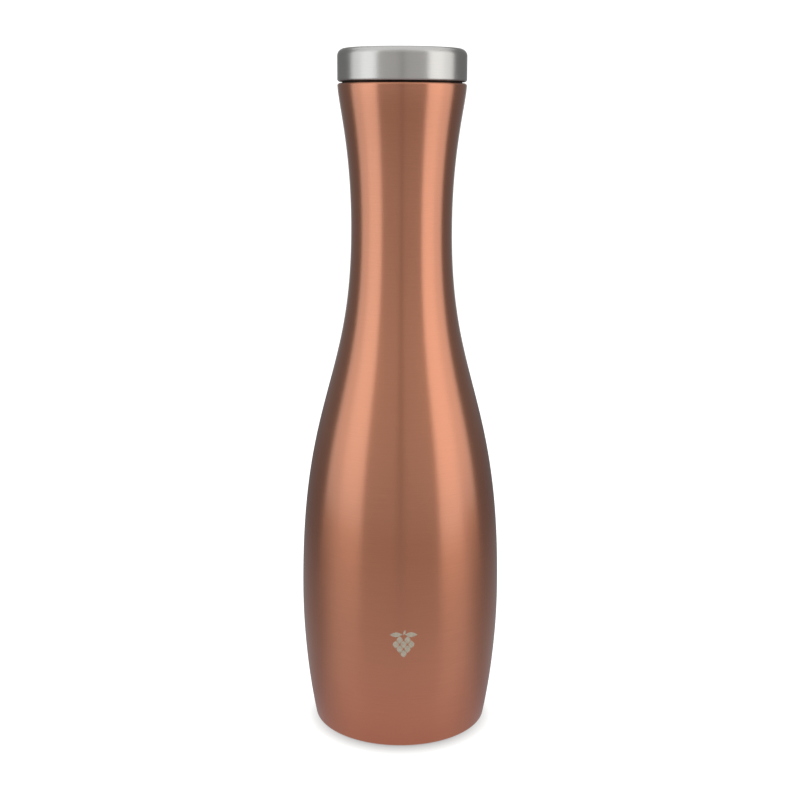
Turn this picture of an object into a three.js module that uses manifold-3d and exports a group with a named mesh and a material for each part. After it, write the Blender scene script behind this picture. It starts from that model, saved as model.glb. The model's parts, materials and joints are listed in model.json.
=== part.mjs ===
// A slim, double-walled steel growler with a screw-in lid. Millimetres, +Z up.
// The origin is the centre of the foot, on the surface that the bottle stands on.
// Nearly every piece is pressed, spun or turned, so it is a lathe about +Z.
// Pieces that are welded, bonded or clamped together keep a hairline gap, so that each is a solid of its own.

import * as THREE from 'three';
import { mergeVertices } from 'three/addons/utils/BufferGeometryUtils.js';
import Module from 'manifold-3d';

const wasm = await Module();
wasm.setup();

// ---- Driving dimensions ----

const SEGMENTS = 28; // flats round a full turn
const HAIRLINE = 0.1; // gap between pieces that are fixed to each other

// The bottle's side runs foot, belly, waist, rim. A pull is how far the curve holds its direction
// below or above that place.
const FOOT_RADIUS = 48;
const FOOT_SLOPE = 0.205; // how fast the side leans out as it leaves the foot
const FOOT_PULL = 20.1;
const BELLY_RADIUS = 55;
const BELLY_HEIGHT = 72.7;
const BELLY_PULL_BELOW = 23.9;
const BELLY_PULL_ABOVE = 114.3;
const WAIST_RADIUS = 27;
const WAIST_HEIGHT = 278;
const WAIST_PULL_BELOW = 86.6;
const WAIST_PULL_ABOVE = 42.4;
const RIM_RADIUS = 33.9;
const RIM_HEIGHT = 352;
const RIM_PULL = 9.5;

// Sheet metal
const SHELL_THICKNESS = 0.7;
const LINER_THICKNESS = 0.6;
const LINER_DEPTH = 3.5; // from the outer face to the liner's vacuum side
const FOIL_THICKNESS = 0.3;
const FOIL_DEPTH = 1.9;
const LID_THICKNESS = 0.8;

// Base
const BASE_JOIN = 14; // height of the seam between shell and base cup
const SHOULDER_JOIN = 190; // height of the seam between shell and neck, ground flush
const FOOT_EDGE = 1.2; // radius of the foot's outer corner
const FOOT_WIDTH = 2.6; // flat ring that touches the table
const FOOT_INNER_EDGE = 1.4; // radius of the foot's inner corner
const RECESS_HEIGHT = 3.4;
const RECESS_SLOPE = 2.2; // how far in from the foot the recess reaches its height
const PORT_RADIUS = 1.2;
const PORT_RAISE = 1.8; // height of the raised disc round the port, above the recess
const PORT_DISC_RADIUS = 6;
const COVER_RADIUS = 41.2;
const COVER_BOTTOM = 1.6;
const COVER_EDGE = 1;
const PAD_INNER_RADIUS = 18;
const PAD_OUTER_RADIUS = 38;
const BEAD_RADIUS = 2.4;
const BEAD_FLATNESS = 0.35; // height of the bead as a share of its width

// Getter, on the vacuum side of the base cup
const GETTER_PLACE = 24;
const GETTER_RADIUS = 4.5;
const GETTER_HEIGHT = 2.4;
const GETTER_BASE = RECESS_HEIGHT + SHELL_THICKNESS + HAIRLINE;
const STRAP_GAUGE = 0.4;
const STRAP_WIDTH = 5;
const STRAP_EAR = 5; // length of each welded end

// Liner
const LINER_JOIN = 28;
const LINER_SHOULDER_JOIN = 182;
const LINER_FLOOR = 10.4; // underside of the liner's floor
const LINER_CORNER = 9;
const LINER_PUSH_UP = 1.6; // rise of the floor's middle
const LINER_BELL_HEIGHT = 4; // length over which the neck widens to meet the mouth ring
const LINER_BELL_RADIUS = 27.7;
const FOIL_BOTTOM = 34;
const FOIL_TOP = 316;

// Mouth, with a two-start right-hand thread
const RIM_EDGE = 1.2;
const LIP_RADIUS = 31.3; // where the shell's rolled lip meets the mouth ring
const RING_BOTTOM = 326;
const RING_SLEEVE = 1.4; // wall of the mouth ring
const ENTRY_STEP = 1; // how much wider than the bore the mouth's entry is
const ENTRY_DEPTH = 2.6;
const ENTRY_CHAMFER = 0.4;
const BORE_RADIUS = 26.8; // root of the internal thread
const THREAD_DEPTH = 1.2;
const THREAD_CLEARANCE = 0.4;
const THREAD_STARTS = 2;
const THREAD_LEAD = 10;
const THREAD_TURNS = 1.25;
const THREAD_FOOT = 2.8; // width of a ridge at its root, along the axis
const THREAD_CREST = 1.6;
const THREAD_START = 331;

// Lid
const LID_GAP = 0.7; // height of the gasket between rim and lid
const LID_RADIUS = 33.9;
const LID_BOTTOM = RIM_HEIGHT + LID_GAP;
const LID_TOP = 370;
const LID_DOME = 0.5;
const LID_TOP_EDGE = 3.8;
const LID_LOW_EDGE = 1.3;
const LID_CURL_RADIUS = 31.7; // inner edge of the curled-in hem
const PLUG_BOTTOM = 320;
const PLUG_RADIUS = BORE_RADIUS - THREAD_DEPTH - THREAD_CLEARANCE;
const PLUG_BORE = 21.2;
const PLUG_NOSE = PLUG_RADIUS - 0.4;
const PLUG_CHAMFER = 1.2;
const PLUG_FLOOR = 2.5; // thickness of the plug's floor
const PLUG_SHOULDER = 27;
const FLANGE_RADIUS = 32.8;
const FLANGE_TOP = 356.3;
const O_RING_HEIGHT = 323.6;
const O_RING_SECTION = 1.1;
const GROOVE_DEPTH = 2.3;
const PLATE_THICKNESS = 1.8;
const RIB_OUTER_RADIUS = 30; // of the upright rib at its foot
const RIB_INNER_RADIUS = 27.2;
const RIB_GAP = 2.4; // between the rib's tip and the inside of the cap

// ---- Outlines ----

const point = (radius, height) => new THREE.Vector2(radius, height);

// The outer face of the bottle, seen in section, from foot to rim.
const side = new THREE.CurvePath();
side.add(new THREE.CubicBezierCurve(
  point(FOOT_RADIUS, 0),
  point(FOOT_RADIUS + FOOT_SLOPE * FOOT_PULL, FOOT_PULL),
  point(BELLY_RADIUS, BELLY_HEIGHT - BELLY_PULL_BELOW),
  point(BELLY_RADIUS, BELLY_HEIGHT),
));
side.add(new THREE.CubicBezierCurve(
  point(BELLY_RADIUS, BELLY_HEIGHT),
  point(BELLY_RADIUS, BELLY_HEIGHT + BELLY_PULL_ABOVE),
  point(WAIST_RADIUS, WAIST_HEIGHT - WAIST_PULL_BELOW),
  point(WAIST_RADIUS, WAIST_HEIGHT),
));
side.add(new THREE.CubicBezierCurve(
  point(WAIST_RADIUS, WAIST_HEIGHT),
  point(WAIST_RADIUS, WAIST_HEIGHT + WAIST_PULL_ABOVE),
  point(RIM_RADIUS, RIM_HEIGHT - RIM_PULL),
  point(RIM_RADIUS, RIM_HEIGHT),
));

// The point of the side at a share of its length, moved square to the side into the bottle.
function insetPoint(share, depth) {
  const place = side.getPoint(share);
  const heading = side.getTangent(share);
  return point(place.x - depth * heading.y, place.y + depth * heading.x);
}

// The radius, at a height, of the line that runs a depth inside the outer face.
function wallRadius(depth, height) {
  let low = 0;
  let high = 1;
  for (let halving = 0; halving < 30; halving += 1) {
    const middle = (low + high) / 2;
    if (insetPoint(middle, depth).y < height) {
      low = middle;
    } else {
      high = middle;
    }
  }
  return insetPoint(low, depth).x;
}

function wallLine(depth, bottom, top, steps) {
  return Array.from({ length: steps + 1 }, (_, index) => {
    const height = THREE.MathUtils.lerp(bottom, top, index / steps);
    return point(wallRadius(depth, height), height);
  });
}

// A rounded corner: an arc about a centre, angles in quarter turns from straight out.
function corner(radius, height, size, from, to, steps = 2) {
  return Array.from({ length: steps + 1 }, (_, index) => {
    const angle = THREE.MathUtils.lerp(from, to, index / steps) * Math.PI / 2;
    return point(radius + size * Math.cos(angle), height + size * Math.sin(angle));
  });
}

// The outline of a sheet whose outer face is a line that runs outwards and upwards round the bottle.
function sheet(face, thickness) {
  const back = face.map((place, index) => {
    const before = face[Math.max(index - 1, 0)];
    const after = face[Math.min(index + 1, face.length - 1)];
    const arriving = point(place.x - before.x, place.y - before.y);
    const leaving = point(after.x - place.x, after.y - place.y);
    const first = index === 0 ? leaving.clone() : arriving.clone();
    const last = index === face.length - 1 ? arriving.clone() : leaving.clone();
    first.normalize();
    last.normalize();
    const normal = point(-first.y - last.y, first.x + last.x).normalize();
    const stretch = thickness / (normal.y * first.x - normal.x * first.y);
    const radius = place.x === 0 ? 0 : place.x + normal.x * stretch;
    return point(radius, place.y + normal.y * stretch);
  });
  return [...face, ...back.reverse()];
}

// ---- Solids ----

// Joins shared vertices, and leaves out the flat triangles that a lathe makes where it meets the axis.
function closedBody(geometry) {
  geometry.deleteAttribute('normal');
  geometry.deleteAttribute('uv');
  const merged = mergeVertices(geometry, 1e-4);
  const corners = merged.index.array;
  const kept = [];
  for (let first = 0; first < corners.length; first += 3) {
    const [a, b, c] = corners.slice(first, first + 3);
    if (a !== b && b !== c && c !== a) {
      kept.push(a, b, c);
    }
  }
  merged.setIndex(kept);
  merged.computeVertexNormals();
  return merged;
}

// Spins a closed outline about +Z. An outline that touches the axis starts and ends there.
function lathe(outline) {
  const points = outline[0].x === 0 ? [...outline] : [...outline, outline[0].clone()];
  if (THREE.ShapeUtils.isClockWise(points)) {
    points.reverse();
  }
  const geometry = new THREE.LatheGeometry(points, SEGMENTS);
  geometry.rotateX(Math.PI / 2);
  return closedBody(geometry);
}

function toSolid(geometry) {
  return new wasm.Manifold(new wasm.Mesh({
    numProp: 3,
    vertProperties: new Float32Array(geometry.attributes.position.array),
    triVerts: new Uint32Array(geometry.index.array),
  }));
}

function toGeometry(solid) {
  const mesh = solid.getMesh();
  const geometry = new THREE.BufferGeometry();
  geometry.setAttribute('position', new THREE.BufferAttribute(mesh.vertProperties, 3));
  geometry.setIndex(new THREE.BufferAttribute(mesh.triVerts, 1));
  geometry.computeVertexNormals();
  return geometry;
}

// One start of a thread: a bar wound up a right-hand helix, its foot sunk in the wall,
// which rises out of the wall and fades back into it over an eighth of a turn.
function threadRidge(root, crest, startAngle, bottom) {
  const steps = Math.round(SEGMENTS * THREAD_TURNS);
  const fade = SEGMENTS / 8;
  const outwards = Math.sign(crest - root);
  const sunk = root - outwards * 0.5;
  const positions = [];
  for (let step = 0; step <= steps; step += 1) {
    const rise = Math.min(1, step / fade, (steps - step) / fade);
    const tip = THREE.MathUtils.lerp(root, crest, rise);
    const angle = startAngle + step * 2 * Math.PI / SEGMENTS;
    const height = bottom + THREAD_LEAD * step / SEGMENTS;
    const section = [
      [sunk, -THREAD_FOOT / 2],
      [tip, -THREAD_CREST / 2],
      [tip, THREAD_CREST / 2],
      [sunk, THREAD_FOOT / 2],
    ];
    for (const [radius, above] of section) {
      positions.push(radius * Math.cos(angle), radius * Math.sin(angle), height + above);
    }
  }
  const index = [];
  const quad = (a, b, c, d) => index.push(...(outwards > 0 ? [a, b, c, a, c, d] : [a, c, b, a, d, c]));
  quad(0, 1, 2, 3);
  for (let first = 0; first < 4 * steps; first += 4) {
    for (let edge = 0; edge < 4; edge += 1) {
      const next = (edge + 1) % 4;
      quad(first + edge, first + 4 + edge, first + 4 + next, first + next);
    }
  }
  quad(4 * steps + 3, 4 * steps + 2, 4 * steps + 1, 4 * steps);
  const geometry = new THREE.BufferGeometry();
  geometry.setAttribute('position', new THREE.Float32BufferAttribute(positions, 3));
  geometry.setIndex(index);
  return geometry;
}

// Adds the thread's starts to a wall. The lid's thread is turned so that it lies midway in the mouth's.
function threaded(wall, root, crest, offset) {
  let solid = toSolid(wall);
  for (let start = 0; start < THREAD_STARTS; start += 1) {
    const angle = offset + start * 2 * Math.PI / THREAD_STARTS;
    solid = solid.add(toSolid(threadRidge(root, crest, angle, THREAD_START)));
  }
  return toGeometry(solid);
}

// ---- Bottle ----

// The lacquered outer wall round the belly, between the base seam and the shoulder seam.
function outerShell() {
  return lathe(sheet(wallLine(0, BASE_JOIN, SHOULDER_JOIN - HAIRLINE, 9), SHELL_THICKNESS));
}

// The lacquered outer wall of the neck, rolled over into a lip at the rim.
function outerNeck() {
  const top = RIM_HEIGHT - RIM_EDGE;
  const face = [
    ...wallLine(0, SHOULDER_JOIN, top - 1, 10),
    ...corner(RIM_RADIUS - RIM_EDGE, top, RIM_EDGE, 0, 1),
    point(LIP_RADIUS, RIM_HEIGHT),
  ];
  return lathe(sheet(face, SHELL_THICKNESS));
}

// The base cup carries the side round the foot, then turns up into a recess with the evacuation port.
function outerBaseCup() {
  const footOuter = wallRadius(0, FOOT_EDGE) - FOOT_EDGE;
  const footInner = footOuter - FOOT_WIDTH;
  const face = [
    point(PORT_RADIUS, RECESS_HEIGHT + PORT_RAISE),
    point(PORT_DISC_RADIUS, RECESS_HEIGHT + PORT_RAISE),
    point(PORT_DISC_RADIUS + 2, RECESS_HEIGHT),
    point(footInner - RECESS_SLOPE, RECESS_HEIGHT),
    ...corner(footInner, FOOT_INNER_EDGE, FOOT_INNER_EDGE, -2, -1),
    ...corner(footOuter, FOOT_EDGE, FOOT_EDGE, -1, 0),
    ...wallLine(0, FOOT_EDGE + 2, BASE_JOIN - HAIRLINE, 3),
  ];
  return lathe(sheet(face, SHELL_THICKNESS));
}

// A pressed disc that hides the port. Its turned-up edge rests against the recess.
function baseCoverPlate() {
  const face = [
    point(0, COVER_BOTTOM),
    ...corner(COVER_RADIUS - COVER_EDGE, COVER_BOTTOM + COVER_EDGE, COVER_EDGE, -1, 0),
    point(COVER_RADIUS, RECESS_HEIGHT - HAIRLINE),
  ];
  return lathe(sheet(face, SHELL_THICKNESS));
}

// The pad that bonds the cover plate into the recess.
function baseAdhesiveRing() {
  const low = COVER_BOTTOM + SHELL_THICKNESS + HAIRLINE;
  const high = RECESS_HEIGHT - HAIRLINE;
  return lathe([
    point(PAD_INNER_RADIUS, low),
    point(PAD_OUTER_RADIUS, low),
    point(PAD_OUTER_RADIUS, high),
    point(PAD_INNER_RADIUS, high),
  ]);
}

// The solder-glass bead that closed the port once the air was out.
function portSealBead() {
  const bead = new THREE.SphereGeometry(BEAD_RADIUS, 16, 8);
  bead.rotateX(Math.PI / 2);
  bead.scale(1, 1, BEAD_FLATNESS);
  bead.translate(0, 0, RECESS_HEIGHT + 0.8);
  return closedBody(bead);
}

// The pill that takes up stray gas in the vacuum space.
function getterPill() {
  const pill = new THREE.CylinderGeometry(GETTER_RADIUS, GETTER_RADIUS, GETTER_HEIGHT, 24);
  pill.rotateX(Math.PI / 2);
  pill.translate(GETTER_PLACE, 0, GETTER_BASE + GETTER_HEIGHT / 2);
  return closedBody(pill);
}

// The strap that holds the pill down, spot-welded to the base cup at both ends.
function getterStrap() {
  const leg = GETTER_RADIUS + STRAP_GAUGE;
  const ear = leg + STRAP_EAR;
  const roof = GETTER_HEIGHT + HAIRLINE;
  const outline = new THREE.Shape([
    point(-ear, 0),
    point(-leg, 0),
    point(-leg, roof),
    point(leg, roof),
    point(leg, 0),
    point(ear, 0),
    point(ear, STRAP_GAUGE),
    point(leg + STRAP_GAUGE, STRAP_GAUGE),
    point(leg + STRAP_GAUGE, roof + STRAP_GAUGE),
    point(-leg - STRAP_GAUGE, roof + STRAP_GAUGE),
    point(-leg - STRAP_GAUGE, STRAP_GAUGE),
    point(-ear, STRAP_GAUGE),
  ]);
  const strap = new THREE.ExtrudeGeometry(outline, { depth: STRAP_WIDTH, bevelEnabled: false });
  strap.rotateX(Math.PI / 2);
  strap.translate(GETTER_PLACE, STRAP_WIDTH / 2, GETTER_BASE);
  return closedBody(strap);
}

// The bare-steel inner wall that holds the drink.
function linerBody() {
  return lathe(sheet(wallLine(LINER_DEPTH, LINER_JOIN, LINER_SHOULDER_JOIN - HAIRLINE, 8), LINER_THICKNESS));
}

// The liner's neck, belled out at the top to meet the mouth ring.
function linerNeck() {
  const face = [
    ...wallLine(LINER_DEPTH, LINER_SHOULDER_JOIN, RING_BOTTOM - LINER_BELL_HEIGHT, 9),
    point(LINER_BELL_RADIUS, RING_BOTTOM - LINER_BELL_HEIGHT * 0.3),
    point(LINER_BELL_RADIUS, RING_BOTTOM - HAIRLINE),
  ];
  return lathe(sheet(face, LINER_THICKNESS));
}

// The liner's floor and lower corner, with a slight push-up in the middle.
function linerBaseCup() {
  const wall = wallRadius(LINER_DEPTH, LINER_FLOOR + LINER_CORNER);
  const face = [
    point(0, LINER_FLOOR + LINER_PUSH_UP),
    point(wall * 0.3, LINER_FLOOR + LINER_PUSH_UP * 0.75),
    point(wall * 0.6, LINER_FLOOR + LINER_PUSH_UP * 0.125),
    ...corner(wall - LINER_CORNER, LINER_FLOOR + LINER_CORNER, LINER_CORNER, -1, -0.1, 4),
    ...wallLine(LINER_DEPTH, LINER_FLOOR + LINER_CORNER + 2, LINER_JOIN - HAIRLINE, 2),
  ];
  return lathe(sheet(face, LINER_THICKNESS));
}

// Bright foil wrapped round the liner in the vacuum space, to turn back radiant heat.
function radiationFoil() {
  return lathe(sheet(wallLine(FOIL_DEPTH, FOIL_BOTTOM, FOIL_TOP, 12), FOIL_THICKNESS));
}

// The turned ring that closes the vacuum space at the mouth and carries the internal thread.
function mouthRing() {
  const outer = LIP_RADIUS - HAIRLINE;
  const sleeve = BORE_RADIUS + RING_SLEEVE;
  const entry = BORE_RADIUS + ENTRY_STEP;
  const entryFoot = RIM_HEIGHT - ENTRY_DEPTH;
  const wall = lathe([
    point(BORE_RADIUS, RING_BOTTOM),
    point(sleeve, RING_BOTTOM),
    point(sleeve, RIM_HEIGHT - 4),
    point(outer, RIM_HEIGHT - 2),
    point(outer, RIM_HEIGHT),
    point(entry + ENTRY_CHAMFER, RIM_HEIGHT),
    point(entry, RIM_HEIGHT - ENTRY_CHAMFER),
    point(entry, entryFoot),
    point(BORE_RADIUS, entryFoot - ENTRY_STEP),
  ]);
  return threaded(wall, BORE_RADIUS, BORE_RADIUS - THREAD_DEPTH, 0);
}

// ---- Lid ----

// The silicone ring between the bottle's rim and the lid, carried up and down by the plug's shoulder.
function rimGasket() {
  const chamfer = 0.2;
  const inner = PLUG_SHOULDER + 0.2;
  const outer = LID_CURL_RADIUS - 0.3;
  const low = RIM_HEIGHT + HAIRLINE / 2;
  const high = LID_BOTTOM;
  return lathe([
    point(inner, low),
    point(outer - chamfer, low),
    point(outer, low + chamfer),
    point(outer, high - chamfer),
    point(outer - chamfer, high),
    point(inner, high),
  ]);
}

// The deep-drawn steel cap: curled-in hem, straight side, rounded edge and a faint dome.
function lidCap() {
  const dome = LID_TOP - LID_DOME;
  const face = [
    point(LID_CURL_RADIUS, LID_BOTTOM),
    ...corner(LID_RADIUS - LID_LOW_EDGE, LID_BOTTOM + LID_LOW_EDGE, LID_LOW_EDGE, -1, 0),
    ...corner(LID_RADIUS - LID_TOP_EDGE, dome - LID_TOP_EDGE, LID_TOP_EDGE, 0, 0.95, 4),
    point(LID_RADIUS * 0.5, LID_TOP - LID_DOME * 0.3),
    point(0, LID_TOP),
  ];
  return lathe(sheet(face, LID_THICKNESS));
}

// The moulded plug: a cup with the external thread, a seal groove and the flange that the cap is curled over.
function lidPlug() {
  const hemTop = LID_BOTTOM + LID_THICKNESS + 0.2;
  const hemInner = LID_CURL_RADIUS - 0.2;
  const grooveHalf = O_RING_SECTION + 0.2;
  const grooveFloor = PLUG_RADIUS - GROOVE_DEPTH;
  const body = lathe([
    point(0, PLUG_BOTTOM),
    point(PLUG_NOSE - PLUG_CHAMFER, PLUG_BOTTOM),
    point(PLUG_NOSE, PLUG_BOTTOM + PLUG_CHAMFER),
    point(PLUG_NOSE, O_RING_HEIGHT - grooveHalf),
    point(grooveFloor, O_RING_HEIGHT - grooveHalf),
    point(grooveFloor, O_RING_HEIGHT + grooveHalf),
    point(PLUG_RADIUS, O_RING_HEIGHT + grooveHalf),
    point(PLUG_RADIUS, RIM_HEIGHT - 3),
    point(PLUG_SHOULDER, RIM_HEIGHT - 1.2),
    point(PLUG_SHOULDER, LID_BOTTOM + HAIRLINE),
    point(hemInner, LID_BOTTOM + HAIRLINE),
    point(hemInner, hemTop),
    point(FLANGE_RADIUS, hemTop),
    point(FLANGE_RADIUS, FLANGE_TOP),
    point(PLUG_BORE, FLANGE_TOP),
    point(PLUG_BORE, PLUG_BOTTOM + PLUG_FLOOR),
    point(0, PLUG_BOTTOM + PLUG_FLOOR),
  ]);
  return threaded(body, PLUG_RADIUS, PLUG_RADIUS + THREAD_DEPTH, Math.PI / THREAD_STARTS);
}

// The ring in the plug's groove.
function plugORing() {
  const centre = PLUG_RADIUS - O_RING_SECTION + 0.1;
  const section = corner(centre, O_RING_HEIGHT, O_RING_SECTION, 0, 4, 8);
  return lathe(section.slice(0, -1));
}

// Foam that fills the plug.
function plugFoam() {
  const radius = PLUG_BORE - 0.3;
  const low = PLUG_BOTTOM + PLUG_FLOOR + 0.3;
  const high = FLANGE_TOP - HAIRLINE;
  return lathe([point(0, low), point(radius, low), point(radius, high), point(0, high)]);
}

// The moulded plate that closes the plug and holds the cap's top off it with an upright rib.
function lidInnerPlate() {
  const low = FLANGE_TOP + HAIRLINE;
  const plate = low + PLATE_THICKNESS;
  const tip = LID_TOP - LID_THICKNESS - RIB_GAP;
  return lathe([
    point(0, low),
    point(FLANGE_RADIUS, low),
    point(FLANGE_RADIUS, plate),
    point(RIB_OUTER_RADIUS, plate),
    point(RIB_OUTER_RADIUS - 1, tip),
    point(RIB_INNER_RADIUS + 0.4, tip),
    point(RIB_INNER_RADIUS, plate),
    point(0, plate),
  ]);
}

// Foam under the cap, inside the plate's rib.
function capFoam() {
  const radius = RIB_INNER_RADIUS - 0.4;
  const low = FLANGE_TOP + PLATE_THICKNESS + 0.4;
  const high = LID_TOP - LID_THICKNESS - RIB_GAP / 2;
  return lathe([point(0, low), point(radius, low), point(radius, high), point(0, high)]);
}

// ---- Assembly ----

const copperLacquer = { color: 0xb5694a, roughness: 0.32, metalness: 1 };
const brushedSteel = { color: 0xb9b8b4, roughness: 0.35, metalness: 1 };
const darkSilicone = { color: 0x26241f, roughness: 0.75, metalness: 0 };
const palePlastic = { color: 0xd9d8d2, roughness: 0.5, metalness: 0 };
const foam = { color: 0xf2f0ea, roughness: 0.95, metalness: 0 };

const bottlePieces = [
  ['outer_shell', outerShell, copperLacquer],
  ['outer_neck', outerNeck, copperLacquer],
  ['outer_base_cup', outerBaseCup, copperLacquer],
  ['base_cover_plate', baseCoverPlate, brushedSteel],
  ['base_adhesive_ring', baseAdhesiveRing, { color: 0xe6e2d0, roughness: 0.8, metalness: 0 }],
  ['port_seal_bead', portSealBead, { color: 0x3f4a44, roughness: 0.2, metalness: 0 }],
  ['getter_pill', getterPill, { color: 0x55524e, roughness: 0.8, metalness: 0.6 }],
  ['getter_strap', getterStrap, brushedSteel],
  ['radiation_foil', radiationFoil, { color: 0xd2d4d6, roughness: 0.2, metalness: 1 }],
  ['liner_base_cup', linerBaseCup, brushedSteel],
  ['liner_body', linerBody, brushedSteel],
  ['liner_neck', linerNeck, brushedSteel],
  ['mouth_ring', mouthRing, brushedSteel],
];

const lidPieces = [
  ['rim_gasket', rimGasket, darkSilicone],
  ['lid_cap', lidCap, brushedSteel],
  ['lid_plug', lidPlug, palePlastic],
  ['plug_o_ring', plugORing, darkSilicone],
  ['plug_foam', plugFoam, foam],
  ['lid_inner_plate', lidInnerPlate, palePlastic],
  ['cap_foam', capFoam, foam],
];

function assemble(pieces) {
  const group = new THREE.Group();
  for (const [name, shape, look] of pieces) {
    const mesh = new THREE.Mesh(shape(), new THREE.MeshStandardMaterial(look));
    mesh.name = name;
    group.add(mesh);
  }
  return group;
}

const growler = new THREE.Group();
growler.add(assemble(bottlePieces), assemble(lidPieces));

export default growler;
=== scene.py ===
# Looks for the growler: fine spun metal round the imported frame, in metres, in the frame's own axes.

import json
import math

import bpy
import numpy as np
from mathutils import Matrix, Vector


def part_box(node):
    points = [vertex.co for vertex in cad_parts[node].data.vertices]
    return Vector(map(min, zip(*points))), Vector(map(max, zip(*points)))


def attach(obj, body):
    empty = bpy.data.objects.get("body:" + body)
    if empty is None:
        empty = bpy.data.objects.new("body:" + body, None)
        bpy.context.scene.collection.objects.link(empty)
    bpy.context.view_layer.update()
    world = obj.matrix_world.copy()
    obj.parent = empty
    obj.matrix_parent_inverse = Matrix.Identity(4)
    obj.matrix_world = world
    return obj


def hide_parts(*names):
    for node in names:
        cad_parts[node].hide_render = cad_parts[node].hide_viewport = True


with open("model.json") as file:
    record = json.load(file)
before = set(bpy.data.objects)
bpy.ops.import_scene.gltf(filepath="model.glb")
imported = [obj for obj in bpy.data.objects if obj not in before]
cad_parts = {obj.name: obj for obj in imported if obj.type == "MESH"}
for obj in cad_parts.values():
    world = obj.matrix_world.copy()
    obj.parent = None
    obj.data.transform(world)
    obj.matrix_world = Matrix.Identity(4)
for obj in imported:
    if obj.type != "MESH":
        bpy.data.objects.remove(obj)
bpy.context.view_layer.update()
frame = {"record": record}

MM = 0.001
ROUND = 256  # flats round a full turn
HALF_PI = math.pi / 2
SHARP_BEND = math.radians(38)
SAME_RADIUS = 0.01 * MM

# ---- Sizes from the frame ----

shell_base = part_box("outer_shell")[0].z
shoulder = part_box("outer_neck")[0].z
rim_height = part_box("outer_neck")[1].z
liner_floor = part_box("liner_base_cup")[0].z
liner_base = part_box("liner_body")[0].z
liner_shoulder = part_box("liner_neck")[0].z
ring_low, ring_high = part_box("mouth_ring")
gasket_low, gasket_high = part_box("rim_gasket")
lid_low, lid_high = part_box("lid_cap")
plug_low, plug_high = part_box("lid_plug")
o_ring_low, o_ring_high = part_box("plug_o_ring")
cover_low, cover_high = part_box("base_cover_plate")

# The side of the bottle, as shares of the height to its rim, drawn for a rim 352 mm up.
# A pull is how far the curve holds its direction.
DRAWN_RIM = 352
FOOT_RADIUS = 48.0 / DRAWN_RIM
FOOT_SLOPE = 0.205
FOOT_PULL = 20.1 / DRAWN_RIM
BELLY_RADIUS = 55.0 / DRAWN_RIM
BELLY_HEIGHT = 72.7 / DRAWN_RIM
BELLY_PULL_BELOW = 23.9 / DRAWN_RIM
BELLY_PULL_ABOVE = 114.3 / DRAWN_RIM
WAIST_RADIUS = 27.0 / DRAWN_RIM
WAIST_HEIGHT = 278.0 / DRAWN_RIM
WAIST_PULL_BELOW = 86.6 / DRAWN_RIM
WAIST_PULL_ABOVE = 42.4 / DRAWN_RIM
RIM_RADIUS = 33.9 / DRAWN_RIM
RIM_PULL = 9.5 / DRAWN_RIM

# Sheet metal and edges
SHELL_THICKNESS = 0.7 * MM
FOIL_THICKNESS = 0.3 * MM
FOIL_DEPTH = 1.9 * MM
LINER_THICKNESS = 0.6 * MM
LINER_DEPTH = 3.5 * MM
LID_THICKNESS = 0.8 * MM
FOOT_EDGE = 1.2 * MM
FOOT_WIDTH = 2.6 * MM
RECESS_HEIGHT = 3.4 * MM
RIM_EDGE = 1.2 * MM
LINER_CORNER = 9 * MM
GAP = 0.1 * MM  # between faces that are welded or clamped together

# Thread. The plug's ridges stand as far out of the plug as the ring's stand out of its bore.
BORE_RADIUS = 26.8 * MM
THREAD_DEPTH = 1.2 * MM
THREAD_CLEARANCE = 0.4 * MM
PLUG_RADIUS = BORE_RADIUS - THREAD_DEPTH - THREAD_CLEARANCE
THREAD_STARTS = 2
THREAD_TURNS = 1.25
THREAD_FADE = 0.125  # turns over which a ridge rises from nothing at either end
THREAD_FOOT = 2.8 * MM
THREAD_CREST = 1.6 * MM
THREAD_START = 331 * MM
thread_lead = frame["record"]["behaviour"]["couplings"][0]["ratio"] * 2 * math.pi

# The seal groove in the plug, and how far its ring stays off the groove's floor
GROOVE_DEPTH = 2.3 * MM
GROOVE_HALF_HEIGHT = 1.3 * MM
RING_CLEARANCE = 0.2 * MM


# ---- Outlines: lists of (radius, height) ----

def cubic(start, start_pull, end_pull, end, steps):
    """Points and headings along a cubic Bezier curve."""
    t = np.linspace(0, 1, steps)[:, None]
    a, b, c, d = (np.array(p) for p in (start, start_pull, end_pull, end))
    places = (1 - t) ** 3 * a + 3 * (1 - t) ** 2 * t * b + 3 * (1 - t) * t ** 2 * c + t ** 3 * d
    headings = (1 - t) ** 2 * (b - a) + 2 * (1 - t) * t * (c - b) + t ** 2 * (d - c)
    return places, headings / np.linalg.norm(headings, axis=1)[:, None]


def bottle_side():
    """The outer face in section, from foot to rim, and its heading at each point."""
    foot = (FOOT_RADIUS, 0)
    foot_pull = (FOOT_RADIUS + FOOT_SLOPE * FOOT_PULL, FOOT_PULL)
    belly = (BELLY_RADIUS, BELLY_HEIGHT)
    waist = (WAIST_RADIUS, WAIST_HEIGHT)
    rim = (RIM_RADIUS, 1)
    below_belly = (BELLY_RADIUS, BELLY_HEIGHT - BELLY_PULL_BELOW)
    above_belly = (BELLY_RADIUS, BELLY_HEIGHT + BELLY_PULL_ABOVE)
    below_waist = (WAIST_RADIUS, WAIST_HEIGHT - WAIST_PULL_BELOW)
    above_waist = (WAIST_RADIUS, WAIST_HEIGHT + WAIST_PULL_ABOVE)
    below_rim = (RIM_RADIUS, 1 - RIM_PULL)
    curves = [
        cubic(foot, foot_pull, below_belly, belly, steps=400),
        cubic(belly, above_belly, below_waist, waist, steps=800),
        cubic(waist, above_waist, below_rim, rim, steps=400),
    ]
    places = np.concatenate([places for places, _ in curves]) * rim_height
    headings = np.concatenate([headings for _, headings in curves])
    return places, headings


# Points from foot to rim, and the way the side runs at each
SIDE, HEADING = bottle_side()


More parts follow.
